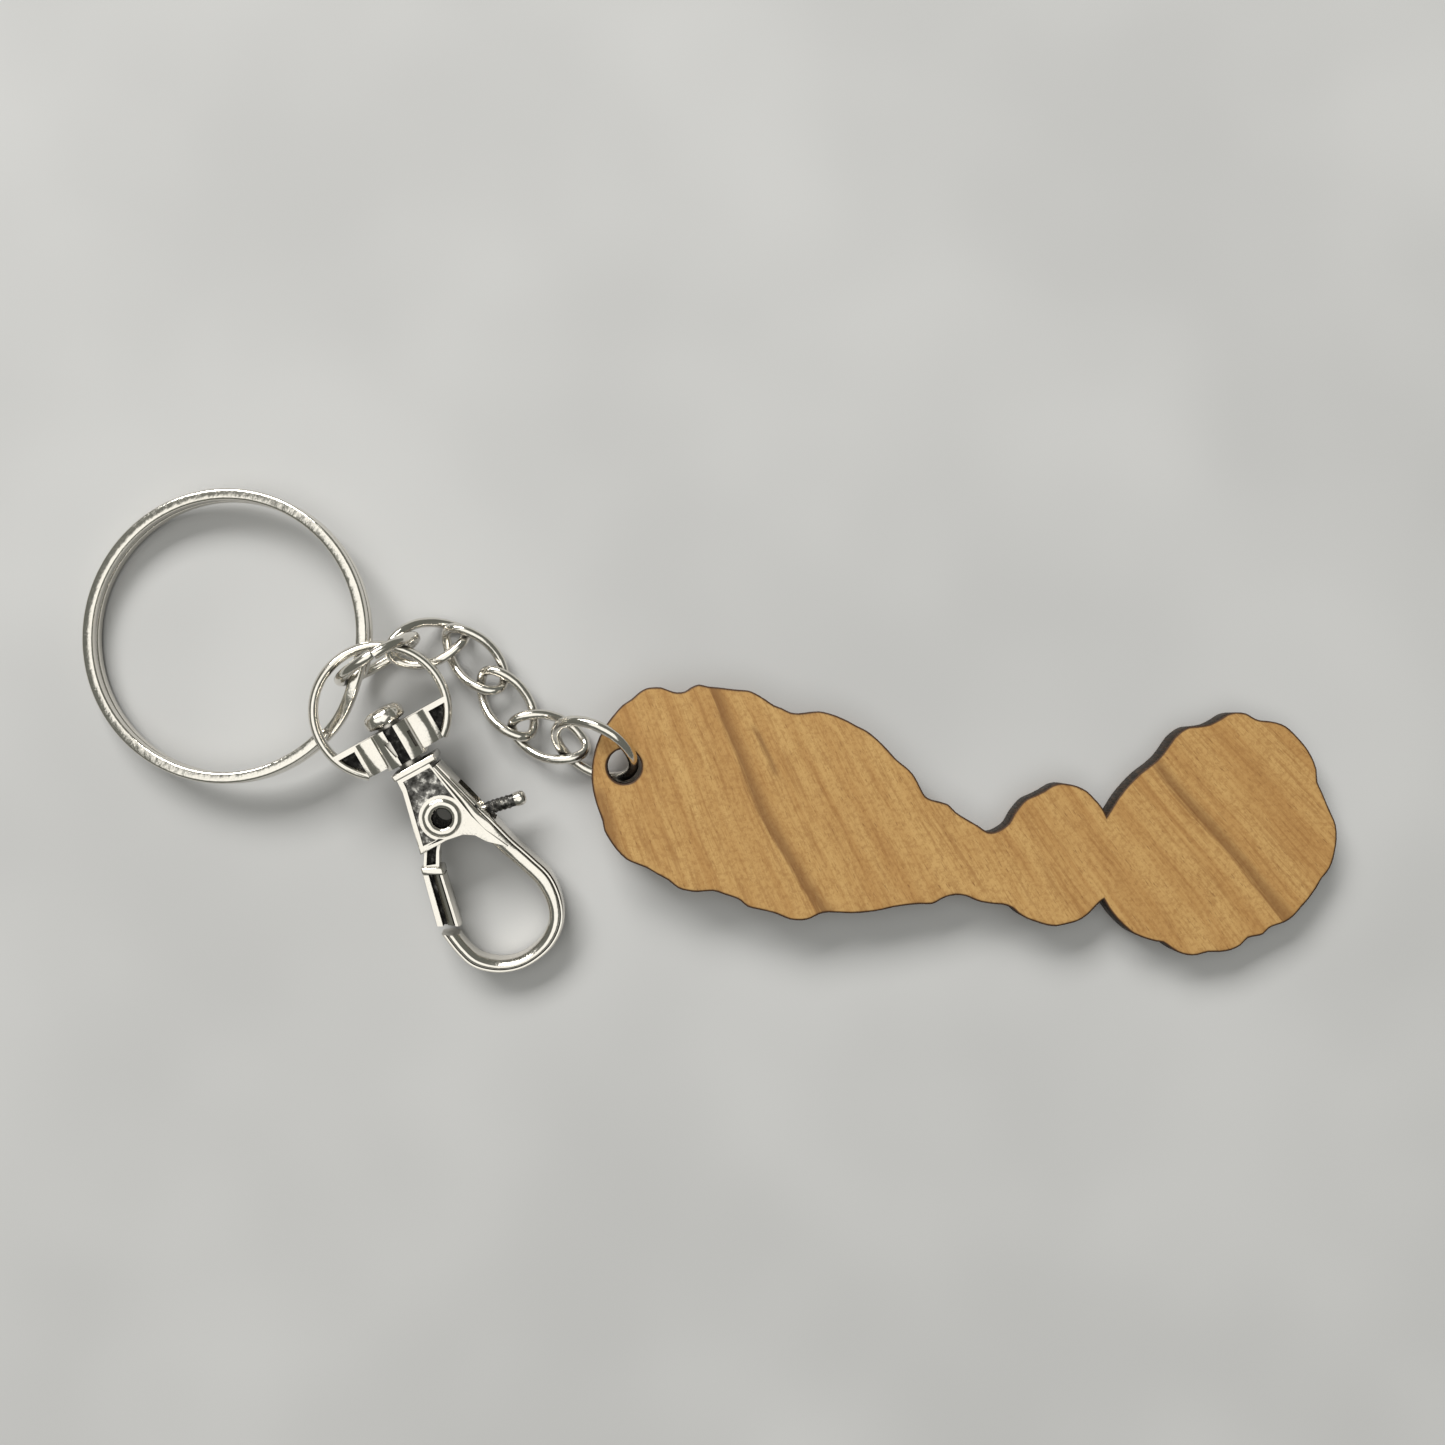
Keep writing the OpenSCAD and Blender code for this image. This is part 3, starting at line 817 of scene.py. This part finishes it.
def with_mirrored(shape):
    """A shape and its mirror image on the clasp's other face."""
    return [shape, moved(shape, Matrix.Diagonal((1, 1, -1, 1)))]


def paint(thing, matrix, material, chosen):
    """Gives material to the faces for which chosen(centre, normal), in the piece's own frame."""
    thing.data.materials.append(material)
    own = matrix.inverted()
    turn = own.to_3x3()
    for polygon in thing.data.polygons:
        if chosen(own @ polygon.center / MM, turn @ polygon.normal):
            polygon.material_index = len(thing.data.materials) - 1


# ---------- swivel ----------

EYE_R = 7.1             # the eye's outer radius
EYE_RIM = 1.0           # and the width of its rim
EYE_T = 1.7
EYE_RIM_R = EYE_R - EYE_RIM / 2
BAR_X = 1.7             # where the collar starts
EYE_END_X = 5.25        # where the collar ends and cuts off the eye
BARREL_END_X = 5.6
COLLAR_HALF = 3.95
COLLAR_T = 2.6
BARREL_R = 2.3
SHANK_R = 1.2
SHANK_END_X = 7.9
POCKET_R = 6.4
POCKET_FLOOR = 0.25
SLOT_FLOOR = 1.3
MIDDLE_SLOT_Y = (-0.6, 0.5)
LEFT_STEP = [(3.0, -1.15), (4.7, -0.75), (4.7, -0.5), (3.0, -0.5)]
RIGHT_SLOT = rectangle((2.9, 4.7), (1.45, 1.75))
RIGHT_SLOT_FLOOR = 1.2
HEAD_R = 2.1
HEAD_X = (-0.35, 1.4)


def eye_rim():
    """The eye's round rim, open where the collar closes it."""
    end_angle = math.degrees(math.acos(EYE_END_X / EYE_RIM_R)) + 1.5
    path = [Vector((x, y, 0)) for x, y in arc(EYE_RIM_R, end_angle, 360 - end_angle, 120)]
    section = squared_circle(EYE_RIM / 2, EYE_T / 2, 2.2, 20)
    return sweep(path, path, [section] * len(path))


def eye_pocket(side):
    """Outline of the three-cornered pocket on one side of the collar."""
    edge_y, edge_x = COLLAR_HALF + 0.22, BAR_X + 0.55
    low = math.degrees(math.asin(edge_y / POCKET_R))
    high = math.degrees(math.acos(edge_x / POCKET_R))
    outline = arc(POCKET_R, low, high, 8) + [(edge_x, edge_y)]
    return [(x, side * y) for x, y in outline][::side]


def eye_web(bore):
    """The flat web between rim and collar, with a pocket in each face on both sides."""
    radius = EYE_RIM_R + 0.1
    top = math.degrees(math.acos(BAR_X / radius))
    bottom = math.degrees(math.acos(EYE_END_X / radius))
    outline = arc(radius, bottom, top, 12) + arc(radius, -top, -bottom, 12)
    pockets = []
    for side in (1, -1):
        pockets += with_turned_over(prism(eye_pocket(side), POCKET_FLOOR, EYE_T))
    return carved(prism(outline, -EYE_T / 2, EYE_T / 2), cuts=[bore, *pockets], bevel=0.1)


def eye_block(bore):
    """The collar and the barrel through it, with the slots and the step cast in them."""
    collar_section = squared_circle(COLLAR_HALF, COLLAR_T / 2 + 0.1, 4, 48)
    barrel_section = squared_circle(BARREL_R, BARREL_R, 2.6, 64)
    collar = along_x(collar_section, BAR_X + 0.1, EYE_END_X)
    barrel = along_x(barrel_section, BAR_X + 0.05, BARREL_END_X)
    whole_length = (BAR_X - 1, BARREL_END_X + 1)
    middle_slot = prism(rectangle(whole_length, MIDDLE_SLOT_Y), SLOT_FLOOR, CLEAR)
    left_step = prism(LEFT_STEP, SLOT_FLOOR, CLEAR)
    right_slot = prism(RIGHT_SLOT, RIGHT_SLOT_FLOOR, CLEAR)
    cuts = [bore, right_slot, *with_turned_over(middle_slot), left_step]
    return carved(collar, joins=[barrel], cuts=cuts, bevel=0.13, segments=3)


def make_swivel_eye():
    """The round eye and the collar that the clasp turns in, with painted shade on its pocket floors and in its
    middle slot.
    """
    bore = turned_to_x(rod(SHANK_R + 0.05, BAR_X - 1, BARREL_END_X + 1))
    shape = joined(eye_rim(), eye_web(bore), eye_block(bore))
    eye = piece("swivel_eye_casting", "swivel_eye", shape, eye_frame, cast_nickel)
    slot_y = (MIDDLE_SLOT_Y[0] - 0.05, MIDDLE_SLOT_Y[1] + 0.05)

    def in_shadow(centre, normal):
        height = abs(centre.z)
        in_slot = slot_y[0] < centre.y < slot_y[1] and SLOT_FLOOR - 0.05 < height < BARREL_R - 0.1
        pocket_floor = abs(normal.z) > 0.9 and abs(height - POCKET_FLOOR) < 0.03
        return pocket_floor or in_slot

    # painted shade: the pocket floors and the middle slot's floor and walls are made near black
    paint(eye, eye_frame, shadow_black_metal, in_shadow)


def make_swivel_rivet():
    """A round head, hammered over, on the shank that the clasp turns on."""
    low, high = HEAD_X
    head = [
        (0.001, low), (0.9, low + 0.02), (1.55, low + 0.12), (1.92, low + 0.4),
        (HEAD_R - 0.02, low + 0.8), (HEAD_R - 0.03, high - 0.4),
        (1.85, high - 0.1), (1.4, high), (0.001, high),
    ]
    dented = roughened(turned_to_x(lathe(head, 96)), amount=0.09, scale=1.5, offset=3.0)
    shank = turned_to_x(rod(SHANK_R, high - 0.3, SHANK_END_X))
    shape = joined(dented, shank)
    piece("swivel_rivet_pin", "swivel_rivet", shape, clasp, hammered_nickel)


# ---------- hook ----------

PIVOT = Vector((12.16, 0.3, 0))
HOUSING_HALF = 2.2
CHEEK_HALF = HOUSING_HALF - 0.12
RECESS_FLOOR = CHEEK_HALF - 0.5
HOOK_HALF = 1.5
SLOT_HALF = 1.25
BOSS_R = 2.3
BORE_R = 1.38
FLANGE = rectangle((6.1, 6.8), (-2.0, 2.8))

# Centre line of the band that runs down the spine and round the hook: (x, y, half width)
HOOK_LINE = [
    (7.3, 2.15, 0.5), (9.3, 2.6, 0.6), (11.6, 3.1, 0.72), (13.4, 3.4, 0.85),
    (15.4, 3.85, 0.95), (17.9, 4.45, 0.95), (20.5, 5.3, 0.95), (22.9, 5.95, 0.95),
    (25.4, 5.75, 0.85), (27.4, 4.75, 0.8), (28.8, 2.75, 0.75), (29.25, 0, 0.68),
    (28.55, -2.35, 0.7), (26.95, -4.15, 0.75), (25, -4.85, 0.75), (22.5, -5.17, 0.75),
]
TIP_CUT = [(22.15, -6.9), (24, -3.53), (21.5, -3.5), (21.5, -6.9)]
HOUSING_OUTLINE = [
    (6.6, -1.7), (8.1, -1.8), (14.4, -3.4), (14.35, -0.4), (14.65, 1.3), (15.3, 2.3),
    (16.4, 3), (17.9, 4.6), (15.4, 3.5), (13.4, 2.95), (9.3, 2.3), (6.6, 1.9),
]
CHEEK_RECESS = [
    (7.15, -1.25), (7.9, -1.3), (13.75, -2.75), (13.85, -1.2), (13.8, 0), (12.6, 2.6), (7.15, 1.8),
]
CHEEK_WEDGE = [(13.95, -2.35), (14.15, -0.6), (13.85, -1.0)]
GATE_SLOT = [
    (9.7, -1.6), (12.6, -2.36), (12.7, -5), (18, -5), (18, 0.5), (14.9, 1.2),
    (15, 2.2), (15, 7), (9.9, 7), (9.9, 2.5), (9.7, 2.2),
]

# The band's section on each of its sides: (distance in from the side, depth below the top)
OUTER_SIDE = [
    (0, 0.85), (0.04, 0.45), (0.12, 0.25), (0.24, 0.15),
    (0.38, 0.16), (0.44, 0.30), (0.52, 0.06), (0.6, 0.01),
]
INNER_SIDE = [(0.6, 0), (0.5, 0.04), (0.12, 0.42), (0.03, 0.55), (0, 0.85)]
FULL_WIDTH = 0.72       # half width from which the sides keep their whole size
SPINE_LEAN = 0.32       # how far the spine's outer side drops for each millimetre across it
LEAN_ENDS_X = 15.5      # where the lean is gone
LEAN_FADE = 2.5         # and over what length it fades


def hook_half_thickness(x):
    """Half the casting's thickness: full over the cheeks, thinner at the hook."""
    return HOUSING_HALF + (HOOK_HALF - HOUSING_HALF) * clamped((x - 14) / 5)


def hook_section(w, h, lean):
    """Section of the band: a flat top, a long slope on the inside of the bend, and on the outside
    a fine groove with a ridge beside it. lean drops its outer side."""
    grow = min(1.0, w / FULL_WIDTH)
    upper = [(w - d * grow, h - depth) for d, depth in OUTER_SIDE]
    upper += [(d * grow - w, h - depth) for d, depth in INNER_SIDE]
    upper = [(x, z - lean * (x + w)) for x, z in upper]
    return upper + [(x, -z) for x, z in reversed(upper)]


def hook_band(slot):
    """The band down the spine and round the hook, cut off at its tip and for the gate's slot."""
    line = smooth_curve(HOOK_LINE, 8)
    path = [Vector((p.x, p.y, 0)) for p in line]
    sections, out = [], []
    for i, p in enumerate(line):
        lean = SPINE_LEAN * clamped((LEAN_ENDS_X - p.x) / LEAN_FADE)
        sections.append(hook_section(p.z, hook_half_thickness(p.x), lean))
        run = path[min(i + 1, len(path) - 1)] - path[max(i - 1, 0)]
        out.append(Vector((-run.y, run.x, 0)))
    cut_off = prism(TIP_CUT, -HOUSING_HALF, HOUSING_HALF)
    return carved(sweep(path, out, sections), cuts=[cut_off, slot])


def hook_housing(slot):
    """The two cheeks. Each has a recess with the pivot's boss standing in it."""
    boss = prism([(PIVOT.x + x, PIVOT.y + y) for x, y in arc(BOSS_R, 0, 350, 35)], 0, CLEAR)
    recess = carved(prism(CHEEK_RECESS, RECESS_FLOOR, CLEAR), cuts=[boss])
    wedge = prism(CHEEK_WEDGE, RECESS_FLOOR, CLEAR)
    bore = moved(rod(BORE_R, -CLEAR, CLEAR), Matrix.Translation(PIVOT))
    cuts = [slot, wedge, bore, *with_mirrored(recess)]
    return carved(
        prism(HOUSING_OUTLINE, -CHEEK_HALF, CHEEK_HALF), cuts=cuts, bevel=0.18, segments=3
    )


def make_hook():
    """The casting: band, housing, and the rough flange that the swivel rivet goes through."""
    slot = prism(GATE_SLOT, -SLOT_HALF, SLOT_HALF)
    flange = carved(prism(FLANGE, -HOUSING_HALF, HOUSING_HALF), bevel=0.16, segments=3)
    flange = roughened(flange, amount=0.04, scale=2.1, offset=8.0)
    shape = joined(hook_band(slot), hook_housing(slot), flange)
    hook = piece("hook_casting", "hook_body", shape, clasp, cast_nickel)

    def recess_floor(centre, normal):
        level = abs(abs(centre.z) - RECESS_FLOOR) < 0.05
        return level and abs(normal.z) > 0.95 and centre.x < 14.2

    paint(hook, clasp, recess_metal, recess_floor)


def make_pivot_rivet():
    """A tubular rivet with both its ends rolled outwards, and painted shade in its bore."""
    half = HOUSING_HALF
    lip = [
        (0.95, half - 0.5), (0.98, half + 0.05), (1.15, half + 0.26), (1.45, half + 0.35),
        (1.74, half + 0.29), (1.92, half + 0.14), (1.94, half),
    ]
    profile = lip + [(1.4, half), (1.4, -half)] + [(r, -z) for r, z in reversed(lip)]
    shape = roughened(lathe(profile, 72), amount=0.03, scale=1.7, offset=5.0)
    place = clasp @ Matrix.Translation(PIVOT * MM)
    rivet = piece("pivot_rivet_tube", "pivot_rivet", shape, place, cast_nickel)

    def in_bore(centre, normal):
        return math.hypot(centre.x, centre.y) < 1.2 and abs(centre.z) < half

    # painted shade: the bore's wall is made near black
    paint(rivet, place, shadow_black_metal, in_bore)


# ---------- gate ----------

GATE_HALF = 1.15
HUB_R = (1.45, 2.1)
HUB_TOP = 0.15          # the spring's coil sits above the hub
ROOM_R = 2.3            # room for the coil
CORE_R = 1.8            # and for the pivot rivet
NECK = [(11.2, -1.55), (14.4, -3.1), (15.8, -4), (16.5, -2.6), (15.1, -1.8), (13.9, -0.8)]
NECK_HOLLOW = [
    (13.4, -2.35), (14.5, -2.85), (15.75, -3.65), (16.1, -2.75), (14.95, -2.05), (13.9, -1.2),
]
NECK_FLOOR = 0.3
LEVER_START = Vector((13.2, 1.6, 0))
LEVER_TIP = Vector((14.55, 8.4, 0))
KNURL_Y = (4.4, 7.2)    # the ribbed stretch of the lever
ARM_START = (Vector((15.6, -4.25)), Vector((16.65, -2.3)))      # outer and inner corner
ARM_END = (Vector((21.65, -5.85)), Vector((22.85, -3.7)))
ARM_HALF = 1.5
ARM_SHOULDER = 0.13     # share of the arm's length that has no groove
ARM_GROOVE = 0.575      # height of the groove's floor
# The arm across its width: (share of the width from its outer edge, height)
ARM_PROFILE = [
    (0.0, 0.70), (0.02, 1.20), (0.05, 1.38), (0.24, 1.40), (0.29, 1.36),
    (0.31, 0.60), (0.43, 0.55), (0.46, 0.85), (0.60, 1.08), (0.72, 1.18),
    (0.75, 0.95), (0.79, 1.36), (0.90, 1.38), (0.95, 1.15), (1.0, 0.85),
]


def on_arm(length_share, width_share):
    """A point of the arm, from its four corners."""
    outer = ARM_START[0].lerp(ARM_END[0], length_share)
    inner = ARM_START[1].lerp(ARM_END[1], length_share)
    return outer.lerp(inner, width_share)


def grooved_arm():
    """The grooved part of the arm, lofted between its shoulder and its end."""
    profile = ARM_PROFILE + [(w, -z) for w, z in reversed(ARM_PROFILE)]
    stations = [ARM_SHOULDER + (1 - ARM_SHOULDER) * k / 12 for k in range(13)]
    verts = [Vector((*on_arm(t, w), z)) for t in stations for w, z in profile]
    n = len(profile)
    last = len(stations) - 1
    faces = [
        (i * n + k, i * n + (k + 1) % n, (i + 1) * n + (k + 1) % n, (i + 1) * n + k)
        for i in range(last)
        for k in range(n)
    ]
    faces += [tuple(reversed(range(n))), tuple(range(last * n, (last + 1) * n))]
    return verts, faces


def arm_shoulder():
    """The plain rough block where the arm starts."""
    corners = [on_arm(0, 0), on_arm(ARM_SHOULDER, 0), on_arm(ARM_SHOULDER, 1), on_arm(0, 1)]
    block = prism([tuple(c) for c in corners], -ARM_HALF, ARM_HALF)
    return roughened(carved(block, bevel=0.2, segments=3), amount=0.05, scale=1.9, offset=14.0)


def knurled_lever():
    """The thumb lever: a ribbed rod with a smooth rounded tip."""
    length = (LEVER_TIP - LEVER_START).length
    ribs = [(0.72 if k % 2 else 0.62, 2.9 + 0.24 * k) for k in range(11)]
    profile = [
        (0.001, 0), (0.6, 0), (0.6, 2.7), *ribs,
        (0.66, length - 1.2), (0.74, length - 0.95), (0.74, length - 0.45),
        (0.62, length - 0.18), (0.35, length - 0.02), (0.001, length),
    ]
    along = (LEVER_TIP - LEVER_START).normalized()
    stand = Matrix.Translation(LEVER_START) @ along.to_track_quat("Z", "Y").to_matrix().to_4x4()
    return moved(roughened(lathe(profile, 40), amount=0.03, scale=2.4, offset=11.0), stand)


def gate_hub():
    """The ring that turns on the pivot rivet, below the spring's coil."""
    inner, outer = HUB_R
    section = [(inner, -GATE_HALF), (outer, -GATE_HALF), (outer, HUB_TOP), (inner, HUB_TOP)]
    return carved(moved(lathe(section, 64), Matrix.Translation(PIVOT)), bevel=0.08)


def make_gate():
    """The gate with its hub, neck, grooved arm and thumb lever, in one casting."""
    at_pivot = Matrix.Translation(PIVOT)
    room = moved(rod(ROOM_R, HUB_TOP, CLEAR), at_pivot)
    core = moved(rod(CORE_R, -CLEAR, CLEAR), at_pivot)
    hollows = with_mirrored(prism(NECK_HOLLOW, NECK_FLOOR, CLEAR))
    neck = carved(prism(NECK, -GATE_HALF, GATE_HALF), cuts=[room, core, *hollows], bevel=0.06)
    lever = carved(knurled_lever(), cuts=[room, core])
    shape = joined(gate_hub(), neck, arm_shoulder(), grooved_arm(), lever)
    gate = piece("gate_arm", "gate", shape, clasp, cast_nickel)

    def shaded_floor(centre, normal):
        height = abs(centre.z)
        in_neck = abs(height - NECK_FLOOR) < 0.03 and centre.x < 16.2
        in_arm = abs(height - ARM_GROOVE) < 0.05 and centre.x > 16
        return abs(normal.z) > 0.9 and (in_neck or in_arm)

    def knurled(centre, normal):
        return KNURL_Y[0] < centre.y < KNURL_Y[1]

    # painted shade: the floors of the neck's hollows and the arm's groove are made near black
    paint(gate, clasp, shadow_black_metal, shaded_floor)
    paint(gate, clasp, recess_metal, knurled)


# ---------- build ----------

make_charm(wood())
make_jump_ring("connector_ring_wire", "connector_ring", 83.6)
make_jump_ring("charm_ring_wire", "charm_ring", 250)
for number in range(1, 5):
    make_chain_link(number)
make_split_ring()
make_swivel_eye()
make_swivel_rivet()
make_hook()
make_pivot_rivet()
make_gate()
for material_slot in frame["nodes"]["gate_spring"].material_slots:
    material_slot.material = spring_metal


# ---------- floor, camera and light ----------

FLOOR_HALF = 2.0
FLOOR_GAP = 0.02 * MM                   # between the floor and the keychain's lowest point
CAMERA_HEIGHT = 162.5 * MM
CAMERA_LENS = 38.96
CAMERA_SHIFTED = (1.5 * MM, 0.9 * MM)   # from over the middle of the keychain
LAMP_COLOUR = (1.0, 0.99, 0.96)
ROOM_COLOUR = (0.97, 1.0, 0.90, 1)
ROOM_STRENGTH = 0.16


def make_floor():
    """A plain pale floor with faint clouds in it."""
    n = Nodes("pale_floor")
    place = n.add("TexCoord").outputs["Object"]
    tone = n.level(n.noise(place, 25, 2), 0.3, 0.7, 0.50, 0.56)
    colour = n.add("CombineColor", Red=tone, Green=tone, Blue=tone).outputs[0]
    n.put(n.shader.inputs["Base Color"], colour)
    n.put(n.shader.inputs["Roughness"], 0.9)
    mesh = bpy.data.meshes.new("floor")
    edge = (-FLOOR_HALF, FLOOR_HALF)
    mesh.from_pydata([(x, y, 0) for x, y in rectangle(edge, edge)], [], [(0, 1, 2, 3)])
    mesh.materials.append(n.material)
    floor = bpy.data.objects.new("floor", mesh)
    floor.location.z = cad_low.z - FLOOR_GAP
    bpy.context.scene.collection.objects.link(floor)


def make_camera():
    """Straight down over the middle of the keychain, with its long side across the picture."""
    data = bpy.data.cameras.new("camera")
    data.lens = CAMERA_LENS
    data.clip_start = 0.01
    camera = bpy.data.objects.new("camera", data)
    middle = (cad_low + cad_high) / 2
    shift_x, shift_y = CAMERA_SHIFTED
    camera.location = (middle.x + shift_x, middle.y + shift_y, cad_low.z + CAMERA_HEIGHT)
    bpy.context.scene.collection.objects.link(camera)
    bpy.context.scene.camera = camera


def make_light(name, location, size, power):
    """A softbox that faces the middle of the keychain, with its power in watts."""
    data = bpy.data.lights.new(name, "AREA")
    data.shape = "RECTANGLE"
    data.size, data.size_y = size
    data.energy = power
    data.color = LAMP_COLOUR
    light = bpy.data.objects.new(name, data)
    light.location = location
    light.rotation_euler = (-Vector(location)).to_track_quat("-Z", "Y").to_euler()
    bpy.context.scene.collection.objects.link(light)


def make_world():
    """The faint even light of the room."""
    world = bpy.data.worlds.new("studio")
    world.use_nodes = True
    background = world.node_tree.nodes["Background"]
    background.inputs["Color"].default_value = ROOM_COLOUR
    background.inputs["Strength"].default_value = ROOM_STRENGTH
    bpy.context.scene.world = world


make_floor()
make_camera()
make_world()
make_light("ceiling", (-0.05, -0.10, 1.0), (1.2, 1.1), 4.7)
make_light("window", (-0.35, 0.65, 0.60), (0.65, 0.35), 9)
bpy.context.scene.view_settings.view_transform = "Standard"
